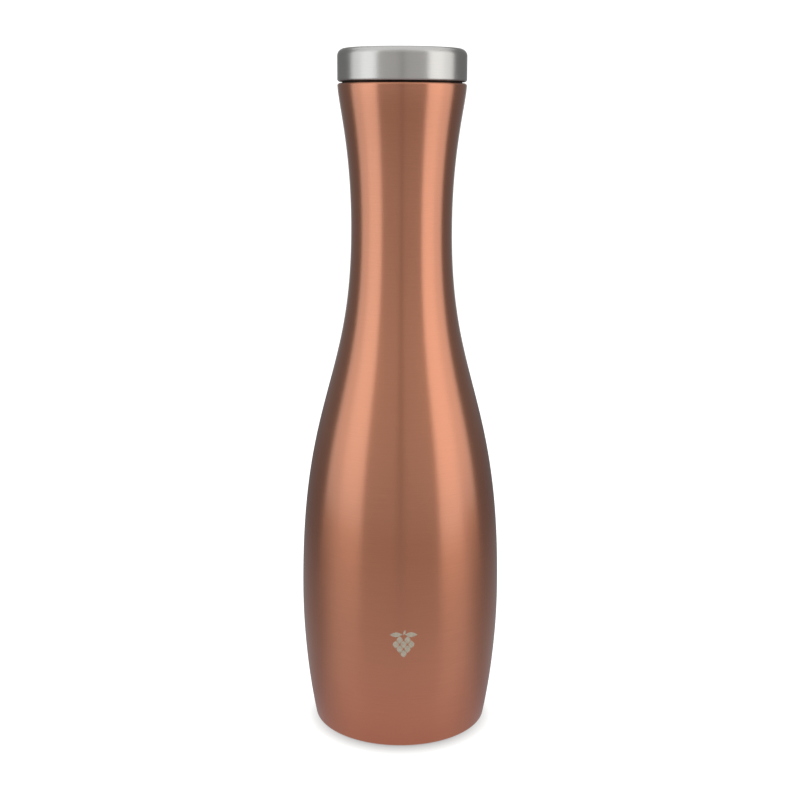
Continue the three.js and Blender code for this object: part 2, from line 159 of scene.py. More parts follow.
def wall_radius(depth, height):
    """Radius, at a height, of the line that runs a depth inside the outer face."""
    radii = SIDE[:, 0] - depth * HEADING[:, 1]
    heights = SIDE[:, 1] + depth * HEADING[:, 0]
    return float(np.interp(height, heights, radii))


def wall_line(depth, low, high, steps):
    """Points along that line, from one height to another."""
    return [(wall_radius(depth, z), z) for z in np.linspace(low, high, steps + 1)]


def corner(radius, height, size, start, end, steps=8):
    """An arc about a centre, between two angles in quarter turns counted from straight out."""
    angles = np.linspace(start, end, steps + 1) * HALF_PI
    return [(radius + size * math.cos(a), height + size * math.sin(a)) for a in angles]


def flat(start, end, steps=1):
    """A straight stretch, with a point close to each end so that shading stays on the edges."""
    close = 0.02
    shares = [0, close] + [n / steps for n in range(1, steps)] + [1 - close, 1]
    return [tuple(np.array(start) * (1 - s) + np.array(end) * s) for s in shares]


def sheet(face, thickness):
    """The closed outline of a sheet of even thickness. The sheet lies to the left of the way its face runs:
    above a face that runs outwards along an underside, and inside a face that runs up a side."""
    points = np.array(face)
    steps = np.diff(points, axis=0)
    steps /= np.linalg.norm(steps, axis=1)[:, None]
    before = np.vstack([steps[:1], steps])
    after = np.vstack([steps, steps[-1:]])
    normals = np.stack([-before[:, 1] - after[:, 1], before[:, 0] + after[:, 0]], axis=1)
    normals /= np.linalg.norm(normals, axis=1)[:, None]
    stretch = thickness / (normals[:, 1] * before[:, 0] - normals[:, 0] * before[:, 1])
    back = points + normals * stretch[:, None]
    on_axis = points[:, 0] == 0
    back[on_axis, 0] = 0
    return [tuple(p) for p in points] + [tuple(p) for p in back[::-1]]


# ---- Meshes ----

def make_mesh(name, vertices, faces):
    """A smooth-shaded piece with sharp edges where its faces meet at more than a gentle bend."""
    mesh = bpy.data.meshes.new(name)
    mesh.from_pydata(vertices, [], faces)
    mesh.validate()
    mesh.shade_smooth()
    mesh.set_sharp_from_angle(angle=SHARP_BEND)
    piece = bpy.data.objects.new(name, mesh)
    bpy.context.scene.collection.objects.link(piece)
    return piece


def signed_area(outline):
    """The area inside a closed outline, below zero where the outline runs clockwise."""
    r, z = np.array(outline).T
    return float(np.sum(r * np.roll(z, -1) - np.roll(r, -1) * z)) / 2


def spin(name, outline, rise=None):
    """Spins a closed outline about +Z. A point on the axis becomes one vertex.
    rise(radius, height, angle) says how far a point moves outwards, for a thread or a crumple."""
    same_place = 1e-7
    points = [p for n, p in enumerate(outline) if math.dist(p, outline[n - 1]) > same_place]
    if signed_area(points) < 0:
        points.reverse()
    angles = [2 * math.pi * n / ROUND for n in range(ROUND)]
    vertices = []
    rings = []
    for radius, height in points:
        if radius == 0:
            rings.append([len(vertices)] * ROUND)
            vertices.append((0, 0, height))
            continue
        rings.append(list(range(len(vertices), len(vertices) + ROUND)))
        for angle in angles:
            r = radius + (rise(radius, height, angle) if rise else 0)
            vertices.append((r * math.cos(angle), r * math.sin(angle), height))
    faces = []
    for ring, following in zip(rings, rings[1:] + rings[:1]):
        if ring[0] == ring[1] and following[0] == following[1]:
            continue
        for n in range(ROUND):
            m = (n + 1) % ROUND
            corners = [ring[n], ring[m], following[m], following[n]]
            faces.append(list(dict.fromkeys(corners)))
    return make_mesh(name, vertices, faces)


def prism(first, count):
    """Faces that close two like rings of vertices, one after the other, into a plate."""
    near = list(range(first, first + count))
    far = list(range(first + count, first + 2 * count))
    sides = [[near[n - 1], near[n], far[n], far[n - 1]] for n in range(count)]
    return [near[::-1], far, *sides]


def middle_and_half(low, high):
    """The height of a box's middle, and half the height of the box."""
    return (low.z + high.z) / 2, (high.z - low.z) / 2


def smooth_step(share):
    """Rises from 0 to 1 with level ends, as a share goes from 0 to 1."""
    share = min(max(share, 0), 1)
    return share * share * (3 - 2 * share)


def thread_rise(height, angle, first_angle):
    """How far a thread ridge stands out of its wall here, from 0 to 1."""
    turns = ((angle - first_angle) % (2 * math.pi)) / (2 * math.pi)
    climbed = (height - THREAD_START) / thread_lead
    nearest = round((climbed - turns) * THREAD_STARTS)
    along = turns + nearest / THREAD_STARTS
    if not 0 < along < THREAD_TURNS:
        return 0
    away = abs(climbed - along) * thread_lead
    flank = (THREAD_FOOT - THREAD_CREST) / 2
    fade = smooth_step(min(along, THREAD_TURNS - along) / THREAD_FADE)
    return smooth_step((THREAD_FOOT / 2 - away) / flank) * fade


# ---- Materials ----

# The colour of the painted shade in the gap under the lid's hem
GAP_SHADE_COLOUR = (0.06, 0.055, 0.05)


class Nodes:
    """A material's node tree, with short calls for the nodes used here."""

    def __init__(self, name):
        self.material = bpy.data.materials.new(name)
        self.material.use_nodes = True
        self.tree = self.material.node_tree
        self.shader = self.tree.nodes["Principled BSDF"]

    def add(self, kind, links=None, **values):
        node = self.tree.nodes.new(kind)
        for key, value in values.items():
            setattr(node, key, value)
        for socket, value in (links or {}).items():
            self.put(node, socket, value)
        return node

    def put(self, node, socket, value):
        """Links a socket to another node, or sets its value. A colour comes without its alpha."""
        if isinstance(value, bpy.types.NodeSocket):
            self.tree.links.new(value, node.inputs[socket])
        elif node.inputs[socket].type == "RGBA":
            node.inputs[socket].default_value = (*value, 1)
        else:
            node.inputs[socket].default_value = value

    def set(self, **values):
        """Sets the shader's own sockets, named with _ for a space."""
        for socket, value in values.items():
            self.put(self.shader, socket.replace("_", " "), value)

    def math(self, operation, *values):
        return self.add("ShaderNodeMath", dict(enumerate(values)), operation=operation).outputs[0]

    def vector_math(self, operation, *values):
        return self.add("ShaderNodeVectorMath", dict(enumerate(values)), operation=operation).outputs[0]

    def length(self, vector):
        return self.add("ShaderNodeVectorMath", {0: vector}, operation="LENGTH").outputs["Value"]

    def along(self, axis, vector):
        return self.add("ShaderNodeSeparateXYZ", {0: vector}).outputs[axis]

    def place(self):
        return self.add("ShaderNodeTexCoord").outputs["Object"]

    def noise(self, vector, scale, detail=2.0, roughness=0.5):
        values = {"Vector": vector, "Scale": scale, "Detail": detail, "Roughness": roughness}
        return self.add("ShaderNodeTexNoise", values).outputs["Fac"]

    def ranged(self, value, low, high, from_low=0.3, from_high=0.7):
        """Goes from low to high in proportion as a value goes from from_low to from_high, level beyond."""
        node = self.add("ShaderNodeMapRange", {"Value": value, "To Min": low, "To Max": high})
        self.put(node, "From Min", from_low)
        self.put(node, "From Max", from_high)
        return node.outputs["Result"]

    def mix(self, share, first, second):
        """A colour between two. In this node the colours are inputs 6 and 7, and output 2."""
        return self.add("ShaderNodeMix", {0: share, 6: first, 7: second}, data_type="RGBA").outputs[2]

    def bump(self, height, strength, distance):
        values = {"Height": height, "Strength": strength, "Distance": distance}
        return self.add("ShaderNodeBump", values).outputs["Normal"]

    def round_the_axis(self, stretch, fineness):
        """A position that changes slowly round the axis and fast along the surface, for brush marks."""
        place = self.place()
        flat_place = self.vector_math("MULTIPLY", place, (1, 1, 0))
        around = self.vector_math("SCALE", self.vector_math("NORMALIZE", flat_place))
        self.put(around.node, "Scale", stretch)
        across_marks = self.math("SUBTRACT", self.along("Z", place), self.length(flat_place))
        height = self.math("MULTIPLY", across_marks, fineness)
        return self.vector_math("ADD", around, self.add("ShaderNodeCombineXYZ", {"Z": height}).outputs[0])


def brushed(name, dark, light, roughness, spread, anisotropy, grain, coat=None, painted_shade_below=None):
    """Metal brushed round its axis: streaks in tone, gloss and height, highlights drawn out along the axis.
    Below a height its colour can be painted dark: painted shade, for the shadowed gap under the lid's hem."""
    nodes = Nodes(name)
    streaks = nodes.noise(nodes.round_the_axis(3.0, grain), scale=1.0, detail=5.0, roughness=0.65)
    clouds = nodes.noise(nodes.place(), scale=22.0)
    streak_share = 0.7
    tone = nodes.math(
        "ADD",
        nodes.math("MULTIPLY", streaks, streak_share),
        nodes.math("MULTIPLY", clouds, 1 - streak_share),
    )
    colour = nodes.mix(nodes.ranged(tone, 0.0, 1.0, from_low=0.35, from_high=0.65), dark, light)
    # Painted shade: below a height the colour fades to near black, standing in for the shadowed gap under
    # the lid
    if painted_shade_below:
        fade = 0.5 * MM
        height = nodes.along("Z", nodes.place())
        painted_shade = nodes.ranged(height, 1.0, 0.0, from_low=painted_shade_below - fade, from_high=painted_shade_below)
        colour = nodes.mix(painted_shade, colour, GAP_SHADE_COLOUR)
    nodes.set(
        Base_Color=colour,
        Metallic=1.0,
        Roughness=nodes.ranged(tone, roughness - spread, roughness + spread),
        Anisotropic=anisotropy,
        Anisotropic_Rotation=0.25,
        Tangent=nodes.add("ShaderNodeTangent", direction_type="RADIAL", axis="Z").outputs[0],
        Normal=nodes.bump(streaks, strength=0.06, distance=0.05 * MM),
    )
    if coat:
        nodes.set(**coat)
    return nodes.material


def plain(name, dark, light, roughness, grain, bump_height, metallic=0.0):
    """A moulded, cut or cast material: mottled tone, uneven gloss and a fine grain."""
    nodes = Nodes(name)
    mottle = nodes.noise(nodes.place(), scale=0.15 * grain, detail=3.0)
    texture = nodes.noise(nodes.place(), scale=grain, detail=3.0, roughness=0.6)
    spread = 0.06
    nodes.set(
        Base_Color=nodes.mix(nodes.ranged(mottle, 0.0, 1.0), dark, light),
        Metallic=metallic,
        Roughness=nodes.ranged(texture, roughness - spread, roughness + spread),
        Normal=nodes.bump(texture, strength=0.4, distance=bump_height),
    )
    return nodes.material


def brushed_steel(name, painted_shade_below=None):
    """The lid's and the cover plate's steel."""
    return brushed(
        name, dark=(0.62, 0.615, 0.60), light=(0.66, 0.655, 0.64),
        roughness=0.35, spread=0.03, anisotropy=0.72, grain=2600.0, painted_shade_below=painted_shade_below,
    )


copper = brushed(
    "copper_lacquer", dark=(0.655, 0.262, 0.146), light=(0.705, 0.287, 0.163),
    roughness=0.34, spread=0.03, anisotropy=0.81, grain=2600.0,
    coat={"Coat_Weight": 1.0, "Coat_Roughness": 0.2, "Coat_IOR": 1.5},
)
steel = brushed_steel("brushed_steel")
# The lid's steel, with painted shade along its lowest 0.6 mm, over the gap to the rim
lid_steel = brushed_steel("lid_steel", painted_shade_below=lid_low.z + 0.6 * MM)
bare_steel = brushed(
    "bare_steel", dark=(0.55, 0.55, 0.53), light=(0.68, 0.68, 0.66),
    roughness=0.30, spread=0.05, anisotropy=0.5, grain=900.0,
)
silicone = plain(
    "dark_silicone", dark=(0.012, 0.011, 0.010), light=(0.024, 0.022, 0.020),
    roughness=0.55, grain=3000.0, bump_height=0.02 * MM,
)
plastic = plain(
    "pale_plastic", dark=(0.56, 0.55, 0.50), light=(0.63, 0.62, 0.57),
    roughness=0.42, grain=2500.0, bump_height=0.01 * MM,
)
foam = plain(
    "foam", dark=(0.74, 0.72, 0.66), light=(0.88, 0.87, 0.82),
    roughness=0.85, grain=900.0, bump_height=0.3 * MM,
)
adhesive = plain(
    "adhesive_pad", dark=(0.62, 0.58, 0.46), light=(0.74, 0.70, 0.58),
    roughness=0.7, grain=1500.0, bump_height=0.05 * MM,
)
solder_glass = plain(
    "solder_glass", dark=(0.03, 0.045, 0.04), light=(0.06, 0.08, 0.07),
    roughness=0.16, grain=700.0, bump_height=0.01 * MM,
)
getter_alloy = plain(
    "getter_alloy", dark=(0.09, 0.085, 0.08), light=(0.2, 0.19, 0.18),
    roughness=0.7, grain=2500.0, bump_height=0.05 * MM, metallic=0.6,
)
foil = plain(
    "bright_foil", dark=(0.75, 0.76, 0.78), light=(0.88, 0.89, 0.9),
    roughness=0.16, grain=120.0, bump_height=0.2 * MM, metallic=1.0,
)
etched = plain(
    "etched_steel", dark=(0.38, 0.335, 0.26), light=(0.46, 0.41, 0.33),
    roughness=0.55, grain=4000.0, bump_height=0.02 * MM, metallic=0.3,
)


def finish_piece(piece, material, slot, body, *nodes):
    """Gives a piece its material, and puts it on a body in place of CAD nodes. The slot is not used."""
    piece.data.materials.append(material)
    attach(piece, body)
    if nodes:
        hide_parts(*nodes)


# ---- Bottle ----

def belly_wall():
    """The wall round the belly, from the base seam to the shoulder."""
    face = wall_line(0, shell_base, shoulder, steps=120)
    return spin("belly_wall", sheet(face, SHELL_THICKNESS))


def neck_wall():
    """The upper wall, rolled over into the lip that meets the mouth ring."""
    edge_start = rim_height - RIM_EDGE
    edge_centre = RIM_RADIUS * rim_height - RIM_EDGE
    lip = ring_high.x + GAP
    wall_top = edge_start - 0.4 * MM
    face = [
        *wall_line(0, shoulder, wall_top, steps=120),
        *corner(edge_centre, edge_start, RIM_EDGE, 0, 1),
        *flat((edge_centre, rim_height), (lip, rim_height)),
    ]
    return spin("neck_wall", sheet(face, SHELL_THICKNESS))


def base_cup():
    """Recess with the evacuation port, foot ring and lower corner of the wall."""
    foot_outer = wall_radius(0, FOOT_EDGE) - FOOT_EDGE
    foot_inner = foot_outer - FOOT_WIDTH
    port = 1.2 * MM
    dimple = 6 * MM
    dimple_height = RECESS_HEIGHT + 1.8 * MM
    dimple_slope = 2 * MM
    recess_edge = foot_inner - 2.2 * MM
    roll = FOOT_EDGE + 0.2 * MM
    wall_low = FOOT_EDGE + 0.3 * MM
    face = [
        *flat((port, dimple_height), (dimple, dimple_height)),
        *flat((dimple + dimple_slope, RECESS_HEIGHT), (recess_edge, RECESS_HEIGHT)),
        *corner(foot_inner, roll, roll, -2, -1),
        *corner(foot_outer, FOOT_EDGE, FOOT_EDGE, -1, -0.1),
        *wall_line(0, wall_low, shell_base, steps=14),
    ]
    return spin("base_cup", sheet(face, SHELL_THICKNESS))


def cover_plate():
    """The pressed disc under the base, with a raised ring that stiffens it."""
    edge = 1 * MM
    radius = cover_high.x
    low = cover_low.z
    middle = radius * 0.062
    ring = radius * 0.62
    ring_half_width = 3 * MM
    ring_height = 0.45 * MM
    raised_ring = [
        (ring + ring_half_width * t, low + ring_height * math.cos(t * HALF_PI) ** 2)
        for t in np.linspace(-0.9, 0.9, 13)
    ]
    face = [
        (0, low),
        *flat((middle, low), (ring - ring_half_width, low)),
        *raised_ring,
        *flat((ring + ring_half_width, low), (radius - edge, low)),
        *corner(radius - edge, low + edge, edge, -1, 0),
        (radius, cover_high.z),
    ]
    return spin("cover_plate", sheet(face, SHELL_THICKNESS))


def liner_walls():
    """The inner wall's three pressings: a cup with a pushed-up floor, the belly, and a throat belled out to
    meet the ring at the mouth."""
    top = ring_low.z - GAP
    bell_radius = BORE_RADIUS + 0.9 * MM
    bell_start = ring_low.z - 4 * MM
    start = wall_radius(LINER_DEPTH, bell_start)
    bell = [
        (start + (bell_radius - start) * smooth_step(s), bell_start + (top - bell_start) * s)
        for s in np.linspace(0.1, 1, 12)
    ]
    corner_height = liner_floor + LINER_CORNER
    wall_low = corner_height + 0.6 * MM
    wall = wall_radius(LINER_DEPTH, corner_height)
    push_up = 1.6 * MM
    push_up_share = 0.78
    floor = [
        (wall * s, liner_floor + push_up * math.cos(s / push_up_share * HALF_PI) ** 2)
        for s in np.linspace(0, 0.75, 24)
    ]
    cup = [
        *floor,
        *corner(wall - LINER_CORNER, corner_height, LINER_CORNER, -1, -0.06, 20),
        *wall_line(LINER_DEPTH, wall_low, liner_base, steps=8),
    ]
    lower = wall_line(LINER_DEPTH, liner_base, liner_shoulder, steps=90)
    upper = wall_line(LINER_DEPTH, liner_shoulder, bell_start, steps=90) + bell
    return [
        spin("liner_cup", sheet(cup, LINER_THICKNESS)),
        spin("liner_wall", sheet(lower, LINER_THICKNESS)),
        spin("liner_throat", sheet(upper, LINER_THICKNESS)),
    ]


def threaded_mouth():
    """The turned ring at the mouth: a sleeve with an internal thread under a flange with a wider entry."""
    flange = ring_high.x
    sleeve = BORE_RADIUS + 1.4 * MM
    entry = BORE_RADIUS + 1 * MM
    low = ring_low.z
    top = ring_high.z
    sleeve_top = top - 4 * MM
    flange_low = top - 2 * MM
    entry_low = top - 2.6 * MM
    bore_top = top - 3.6 * MM
    edge = 0.4 * MM

    def rise(radius, height, angle):
        on_bore = abs(radius - BORE_RADIUS) < SAME_RADIUS
        return -THREAD_DEPTH * thread_rise(height, angle, 0) if on_bore else 0

    outline = [
        *flat((sleeve, low), (sleeve, sleeve_top)),
        *flat((flange, flange_low), (flange, top)),
        *flat((flange, top), (entry + edge, top)),
        *corner(entry + edge, top - edge, edge, 1, 2, 6),
        *flat((entry, top - edge), (entry, entry_low)),
        *[(BORE_RADIUS, z) for z in np.linspace(bore_top, low, 96)],
    ]
    return spin("threaded_mouth", outline, rise)


# ---- Lid ----

def lid_shell():
    """The deep-drawn cap: curled-in hem, straight side, rounded edge, faint dome."""
    radius = lid_high.x
    low_edge = 1.3 * MM
    top_edge = 3.8 * MM
    dome = 0.5 * MM
    hem = ring_high.x + 0.5 * MM
    side_low = lid_low.z + low_edge
    side_high = lid_high.z - dome - top_edge
    top_radius = radius - top_edge
    meeting = 0.97
    face = [
        *flat((hem, lid_low.z), (radius - low_edge, lid_low.z)),
        *corner(radius - low_edge, side_low, low_edge, -1, 0, 10),
        *flat((radius, side_low), (radius, side_high), 6),
        *corner(top_radius, side_high, top_edge, 0, meeting, 18),
        *[(top_radius * s, lid_high.z - dome * s * s) for s in np.linspace(meeting, 0, 40)],
    ]
    return spin("lid_shell", sheet(face, LID_THICKNESS))


def gasket():
    """The silicone ring under the lid, pressed on the rim, with two shallow grooves in its underside."""
    inner = 27.2 * MM
    outer = gasket_high.x
    low = gasket_low.z
    high = gasket_high.z
    edge = 0.3 * MM
    groove_depth = 0.16 * MM
    underside = [
        (inner + (outer - inner) * s, low + groove_depth * math.sin(s * 2 * math.pi) ** 2)
        for s in np.linspace(0.02, 0.9, 40)
    ]
    outline = [
        (inner, high),
        (inner, low),
        *underside,
        *corner(outer - edge, low + edge, edge, -0.9, 0, 6),
        *corner(outer - edge, high - edge, edge, 0, 1, 6),
    ]
    return spin("gasket", outline)


def screw_plug():
    """The moulded hollow plug: dished end, seal groove, external thread, shoulder and flange."""
    low = plug_low.z
    high = plug_high.z
    nose = PLUG_RADIUS - 0.4 * MM
    edge = 1.2 * MM
    flat_radius = nose - edge
    dish_depth = 0.8 * MM
    dish_start = 0.72
    dish_slope = 7
    groove_middle, _ = middle_and_half(o_ring_low, o_ring_high)
    groove_low = groove_middle - GROOVE_HALF_HEIGHT
    groove_high = groove_middle + GROOVE_HALF_HEIGHT
    groove_floor = PLUG_RADIUS - GROOVE_DEPTH
    wall_high = ring_high.z - 3 * MM
    shoulder_radius = 27 * MM
    shoulder_low = ring_high.z - 1.2 * MM
    under_lid = lid_low.z + GAP
    step_radius = ring_high.x + 0.3 * MM
    hem_top = lid_low.z + LID_THICKNESS + 0.2 * MM
    bore = 21.2 * MM
    bore_low = low + 2.5 * MM

    def rise(radius, height, angle):
        on_wall = abs(radius - PLUG_RADIUS) < SAME_RADIUS
        return THREAD_DEPTH * thread_rise(height, angle, HALF_PI) if on_wall else 0

    dish = [
        (flat_radius * s, low + dish_depth * (1 - smooth_step((s - dish_start) * dish_slope)))
        for s in np.linspace(0, 1, 60)
    ]
    outline = [
        *dish,
        *corner(flat_radius, low + edge, edge, -0.9, 0),
        *flat((nose, low + edge), (nose, groove_low)),
        *flat((groove_floor, groove_low), (groove_floor, groove_high)),
        *[(PLUG_RADIUS, z) for z in np.linspace(groove_high, wall_high, 110)],
        *flat((shoulder_radius, shoulder_low), (shoulder_radius, under_lid)),
        *flat((step_radius, under_lid), (step_radius, hem_top)),
        *flat((plug_high.x, hem_top), (plug_high.x, high)),
        *flat((bore, high), (bore, bore_low)),
        (0, bore_low),
    ]
    return spin("screw_plug", outline, rise)


def plug_ring():
    """The round ring in the plug's groove."""
    inner = PLUG_RADIUS - GROOVE_DEPTH + RING_CLEARANCE
    middle, half = middle_and_half(o_ring_low, o_ring_high)
    return spin("plug_ring", corner((o_ring_high.x + inner) / 2, middle, half, 0, 4, 32)[:-1])


# ---- Pieces sealed inside ----

def puck(name, radius, low, high, edge):
    """A round block with rounded edges."""
    return spin(name, [
        (0, low),
        *corner(radius - edge, low + edge, edge, -1, 0, 6),
        *corner(radius - edge, high - edge, edge, 0, 1, 6),
        (0, high),
    ])


def foam_filling(name, node):
    """A block of foam that fills its CAD node's room."""
    low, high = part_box(node)
    return puck(name, high.x, low.z, high.z, 0.6 * MM)


def bonding_pad():
    """The pad under the base, squeezed out into round edges."""
    low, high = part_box("base_adhesive_ring")
    inner = 18 * MM
    middle, half = middle_and_half(low, high)
    return spin("bonding_pad", [
        *corner(high.x - half, middle, half, -1, 1, 10),
        *corner(inner + half, middle, half, 1, 3, 10),
    ])


def glass_bead():
    """The drop of solder glass that closed the evacuation port."""
    low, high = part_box("port_seal_bead")
    middle, half = middle_and_half(low, high)
    slopes = np.linspace(-HALF_PI, HALF_PI, 24)[1:-1]
    rounding = [(high.x * math.cos(a), middle + half * math.sin(a)) for a in slopes]
    return spin("glass_bead", [(0, low.z), *rounding, (0, high.z)])


def getter_tablet():
    """The pressed tablet of gas absorber, off the axis."""
    low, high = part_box("getter_pill")
    tablet = puck("getter_tablet", (high.x - low.x) / 2, low.z, high.z, 0.4 * MM)
    tablet.data.transform(Matrix.Translation(((low.x + high.x) / 2, 0, 0)))
    return tablet


def getter_bridge():
    """The strap over the tablet: two welded ears, two legs and a roof, with rounded bends."""
    low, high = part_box("getter_strap")
    gauge = 0.4 * MM
    ear = (high.x - low.x) / 2
    ear_length = 5 * MM
    leg = ear - ear_length
    roof = high.z - low.z - gauge
    foot_bend = 0.8 * MM
    roof_bend = 0.3 * MM
    underside = [
        (-ear, 0),
        *corner(-leg - foot_bend, foot_bend, foot_bend, -1, 0, 6),
        *corner(-leg + roof_bend, roof - roof_bend, roof_bend, 2, 1, 6),
        *corner(leg - roof_bend, roof - roof_bend, roof_bend, 1, 0, 6),
        *corner(leg + foot_bend, foot_bend, foot_bend, 2, 3, 6),
        (ear, 0),
    ]
    outline = sheet(underside, gauge)
    middle = (low.x + high.x) / 2
    vertices = [(middle + x, y, low.z + z) for y in (high.y, low.y) for x, z in outline]
    return make_mesh("getter_bridge", vertices, prism(0, len(outline)))


def foil_wrap():
    """The bright foil round the liner, crumpled by two sets of waves that wind opposite ways."""
    low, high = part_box("radiation_foil")
    crumple = 0.12 * MM

    def rise(_radius, height, angle):
        coarse = math.sin(9 * angle + 300 * height)
        fine = math.sin(23 * angle - 700 * height + 2 * math.sin(5 * angle))
        return crumple * (coarse + fine)

    face = wall_line(FOIL_DEPTH, low.z, high.z, steps=110)
    return spin("foil_wrap", sheet(face, FOIL_THICKNESS), rise)


def inner_plate():
    """The moulded plate over the plug, with the upright rib that holds up the cap's top."""
    low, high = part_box("lid_inner_plate")
    plate_top = low.z + 1.8 * MM
    edge = 0.4 * MM
    rib_outer = 30 * MM
    rib_inner = 27.2 * MM
    rib_outer_top = rib_outer - 1 * MM
    rib_inner_top = rib_inner + edge
    return spin("inner_plate", [
        (0, low.z),
        *corner(high.x - edge, low.z + edge, edge, -1, 0, 6),
        *corner(high.x - edge, plate_top - edge, edge, 0, 1, 6),
        *corner(rib_outer + edge, plate_top + edge, edge, 3, 2, 6),
        *corner(rib_outer_top - edge, high.z - edge, edge, 0, 1, 6),
        *corner(rib_inner_top + edge, high.z - edge, edge, 1, 2, 6),
        *corner(rib_inner - edge, plate_top + edge, edge, 4, 3, 6),
        (0, plate_top),
    ])


# ---- Etched mark: a hop cone ----

def leaf(tip, base, width, steps=14):
    """A pointed oval between two places, as (across, up) points."""
    tip = np.array(tip)
    base = np.array(base)
    across = np.array([base[1] - tip[1], tip[0] - base[0]])
    across = across / np.linalg.norm(across) * width / 2
    outline = []
    for start, end, side in ((tip, base, 1), (base, tip, -1)):
        for share in np.linspace(0, 1, steps, endpoint=False):
            bulge = math.sin(math.pi * share)
            outline.append(tuple(start * (1 - share) + end * share + side * bulge * across))
    return outline


def hop_cone():
    """Rows of scales that hang in a cone under two leaves, in units of the mark's height."""
    leaves = [leaf((side * 0.46, 0.34), (side * 0.04, 0.36), 0.17) for side in (-1, 1)]
    stalk = leaf((0.05, 0.52), (0, 0.33), 0.07)
    half_step = 0.13
    row_step = 0.165
    cone_top = 0.3
    scale_length = 0.27
    scale_width = 0.2
    scales = []
    for row, places in enumerate(((-1, 1), (-2, 0, 2), (-1, 1), (0,))):
        top = cone_top - row_step * row
        for place in places:
            across = half_step * place
            scales.append(leaf((across, top - scale_length), (across, top), scale_width))
    return [*leaves, stalk, *scales]


def etched_mark():
    """The mark on the front: thin plates that follow the wall, half sunk in it."""
    centre_height = 62 * MM
    centre_angle = math.radians(2) - HALF_PI
    size = 16 * MM
    skin = 0.05 * MM
    vertices = []
    faces = []
    for outline in hop_cone():
        faces += prism(len(vertices), len(outline))
        for lift in (-skin, skin):
            for across, up in outline:
                height = centre_height + up * size
                radius = wall_radius(0, height) + lift
                angle = centre_angle + across * size / radius
                vertices.append((radius * math.cos(angle), radius * math.sin(angle), height))
    return make_mesh("etched_mark", vertices, faces)


# ---- Every piece, with its material, slot, body and CAD node ----

finish_piece(belly_wall(), copper, "copper_lacquer", "bottle", "outer_shell")
finish_piece(neck_wall(), copper, "copper_lacquer", "bottle", "outer_neck")
finish_piece(base_cup(), copper, "copper_lacquer", "bottle", "outer_base_cup")
finish_piece(cover_plate(), steel, "brushed_steel", "bottle", "base_cover_plate")
for wall, node in zip(liner_walls(), ("liner_base_cup", "liner_body", "liner_neck")):
    finish_piece(wall, bare_steel, "bare_steel", "bottle", node)
finish_piece(threaded_mouth(), bare_steel, "bare_steel", "bottle", "mouth_ring")
finish_piece(etched_mark(), etched, "bare_steel", "bottle")
finish_piece(gasket(), silicone, "dark_silicone", "lid_seal", "rim_gasket")
finish_piece(lid_shell(), lid_steel, "brushed_steel", "lid", "lid_cap")
finish_piece(screw_plug(), plastic, "pale_plastic", "lid", "lid_plug")
finish_piece(plug_ring(), silicone, "dark_silicone", "lid", "plug_o_ring")
finish_piece(bonding_pad(), adhesive, "adhesive_pad", "bottle", "base_adhesive_ring")
finish_piece(glass_bead(), solder_glass, "solder_glass", "bottle", "port_seal_bead")
finish_piece(getter_tablet(), getter_alloy, "getter_alloy", "bottle", "getter_pill")
finish_piece(getter_bridge(), bare_steel, "bare_steel", "bottle", "getter_strap")
finish_piece(foil_wrap(), foil, "bright_foil", "bottle", "radiation_foil")
finish_piece(foam_filling("plug_filling", "plug_foam"), foam, "foam", "lid", "plug_foam")
finish_piece(inner_plate(), plastic, "pale_plastic", "lid", "lid_inner_plate")
finish_piece(foam_filling("cap_filling", "cap_foam"), foam, "foam", "lid", "cap_foam")


# ---- Camera ----

camera = bpy.data.objects.new("camera", bpy.data.cameras.new("camera"))
bpy.context.scene.collection.objects.link(camera)
bpy.context.scene.camera = camera
camera.data.lens = 57.64
camera.data.sensor_width = 36
camera.data.clip_start = 0.05
camera_side = -0.5 * MM
camera_distance = 1.958 * rim_height
camera_height = 0.952 * rim_height
look_down = math.radians(12.48)
roll = math.radians(0.22)
camera.matrix_world = (
    Matrix.Translation((camera_side, -camera_distance, camera_height))
    @ Matrix.Rotation(HALF_PI - look_down, 4, "X")
    @ Matrix.Rotation(roll, 4, "Z")
)


# ---- Stage: a white floor and a white shell round everything ----

BLACK = (0, 0, 0)
WHITE = (1, 1, 1)
STAGE_RADIUS = 4
GLOW_RADIUS = 2


def ring_points(radius, height, count):
    """Points evenly round a level circle about +Z."""
    angles = [2 * math.pi * n / count for n in range(count)]
    return [(radius * math.cos(a), radius * math.sin(a), height) for a in angles]


def stage_mesh(name, points, faces, material):
    """A mesh that is part of the stage, not of the bottle."""
    mesh = make_mesh(name, points, faces)
    mesh.data.materials.append(material)
    return mesh


def disc(name, radius, height, material):
    """A flat disc of the stage."""
    count = 96
    return stage_mesh(name, ring_points(radius, height, count), [list(range(count))], material)


def glowing(nodes, base, colour, strength):
    """A matt surface that also gives off light."""
    nodes.set(
        Base_Color=base,
        Roughness=1.0,
        Specular_IOR_Level=0.0,
        Emission_Color=colour,
        Emission_Strength=strength,
    )
    return nodes.material


def floor_white():
    """A lit white floor that also glows, with a painted contact shadow: the glow is dimmer in a narrow ring
    round the bottle's foot.
    """
    nodes = Nodes("floor_white")
    painted_shadow_centre = (0, -6 * MM, 0)
    distance = nodes.length(nodes.vector_math("SUBTRACT", nodes.place(), painted_shadow_centre))
    # Painted shadow: the glow drops from 1.08 to 0.40 close to a point just in front of the foot's centre
    strength = nodes.ranged(distance, 0.40, 1.08, from_low=42 * MM, from_high=56 * MM)
    return glowing(nodes, (0.3, 0.3, 0.3), (0.98, 1, 1), strength)


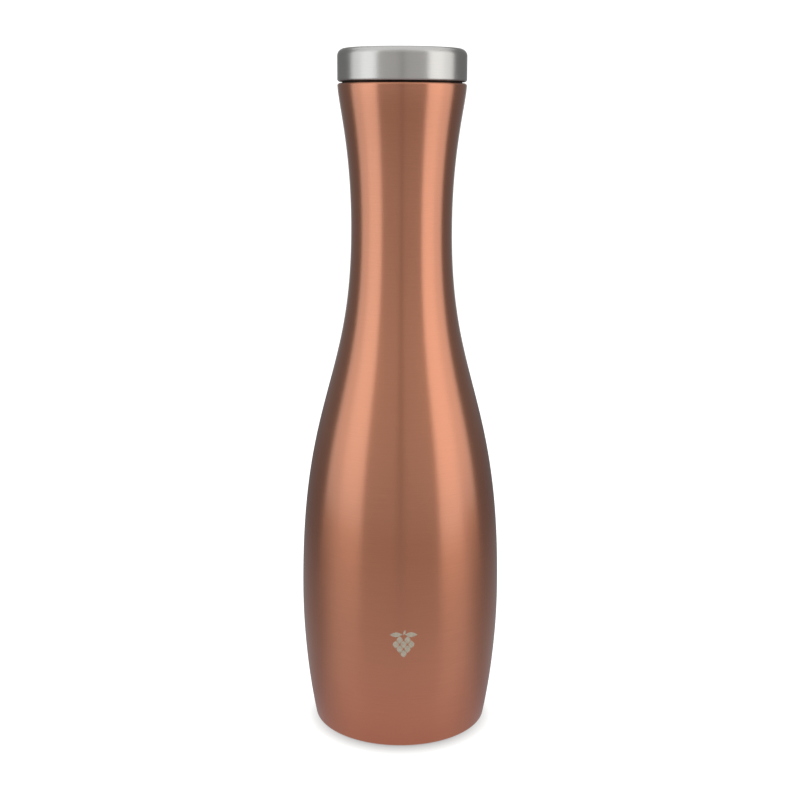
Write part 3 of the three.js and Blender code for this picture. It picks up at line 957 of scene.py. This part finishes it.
def floor_reflection():
    """The floor as the metal shows it, a glow seen only in reflections: a painted reflection, dimmer far
    away and behind the bottle, and redder beside the copper as painted copper bounce.
    """
    nodes = Nodes("floor_reflection")
    distance = nodes.length(nodes.place())
    forward = nodes.along("Y", nodes.place())
    near_light = nodes.ranged(distance, 0.54, 0.26, from_low=120 * MM, from_high=500 * MM)
    front_share = nodes.ranged(forward, 0.55, 1.0, from_low=5 * MM, from_high=-65 * MM)
    away_from_copper = nodes.ranged(distance, 0.0, 1.0, from_low=60 * MM, from_high=130 * MM)
    # Painted copper bounce: the glow is tinted red near the bottle
    colour = nodes.mix(away_from_copper, (1, 0.82, 0.84), (1, 0.94, 0.96))
    return glowing(nodes, BLACK, colour, nodes.math("MULTIPLY", near_light, front_share))


def backdrop():
    """A white shell from well under the floor's edge to overhead, in rings at even slopes."""
    lowest_slope = -0.3
    count = 64
    slopes = np.linspace(lowest_slope, HALF_PI, 24)[:-1]
    points = []
    faces = []
    for row, slope in enumerate(slopes):
        points += ring_points(STAGE_RADIUS * math.cos(slope), STAGE_RADIUS * math.sin(slope), count)
        first = row * count
        if row == len(slopes) - 1:
            faces.append([first + n for n in range(count)])
            continue
        for n in range(count):
            m = (n + 1) % count
            faces.append([first + n, first + m, first + count + m, first + count + n])
    return stage_mesh("backdrop", points, faces, glowing(Nodes("backdrop_white"), BLACK, WHITE, 1.2))


def hide_from(piece, *rays):
    """Keeps a stage piece, or a lamp, out of some kinds of rays."""
    for ray in rays:
        setattr(piece, "visible_" + ray, False)


hide_from(disc("floor", STAGE_RADIUS, -0.2 * MM, floor_white()), "glossy")
hide_from(disc("floor_glow", GLOW_RADIUS, -2 * MM, floor_reflection()), "camera", "diffuse", "shadow")
hide_from(backdrop(), "diffuse", "glossy", "transmission", "shadow")


# ---- Lights ----

WARM = (1, 0.985, 0.96)
WARMER = (1, 0.965, 0.91)
COOL = (0.96, 0.985, 0.985)


def area_light(name, size, radiance, tint):
    """A rectangular light, facing down until it is turned. Its size is (width, height)."""
    light = bpy.data.lights.new(name, "AREA")
    light.shape = "RECTANGLE"
    light.size = size[0]
    light.size_y = size[1]
    light.energy = radiance * math.pi * size[0] * size[1]
    light.color = tint
    lamp = bpy.data.objects.new(name, light)
    bpy.context.scene.collection.objects.link(lamp)
    hide_from(lamp, "camera")
    return lamp


def soft_box(name, azimuth, distance, height, size, radiance, tint):
    """An upright light that faces the bottle's axis. Azimuth is in degrees, from the camera to the right."""
    lamp = area_light(name, size, radiance, tint)
    angle = math.radians(azimuth)
    lamp.location = (distance * math.sin(angle), -distance * math.cos(angle), height)
    towards = Vector((-lamp.location.x, -lamp.location.y, 0))
    lamp.rotation_euler = towards.to_track_quat("-Z", "Y").to_euler()


def ceiling():
    """A broad light straight overhead."""
    lamp = area_light("ceiling", size=(2.6, 2.6), radiance=0.7, tint=WHITE)
    lamp.location = (0, 0, 1.6)


def room():
    """The even grey light that comes from everywhere else."""
    grey = 0.19
    world = bpy.data.worlds.new("room")
    world.use_nodes = True
    world.node_tree.nodes["Background"].inputs["Color"].default_value = (grey, grey, grey, 1)
    bpy.context.scene.world = world


soft_box("front_right", 60.5, 0.7, 0.43, size=(0.39, 0.90), radiance=1.19, tint=WARM)
soft_box("rear_right", 88, 0.7, 0.46, size=(0.30, 0.84), radiance=0.93, tint=WARM)
soft_box("front_left", -60, 0.7, 0.46, size=(0.40, 0.84), radiance=1.16, tint=COOL)
soft_box("rear_left", -88, 0.7, 0.46, size=(0.30, 0.84), radiance=0.83, tint=COOL)
soft_box("back", 180, 1.5, 0.5, size=(1.2, 1.0), radiance=0.2, tint=WHITE)
soft_box("fill_right", 21.6, 1.2, 0.6, size=(0.84, 1.4), radiance=0.335, tint=WARMER)
soft_box("fill_left", -21.6, 1.2, 0.6, size=(0.84, 1.4), radiance=0.335, tint=WARMER)
ceiling()
room()
bpy.context.scene.view_settings.view_transform = "Standard"
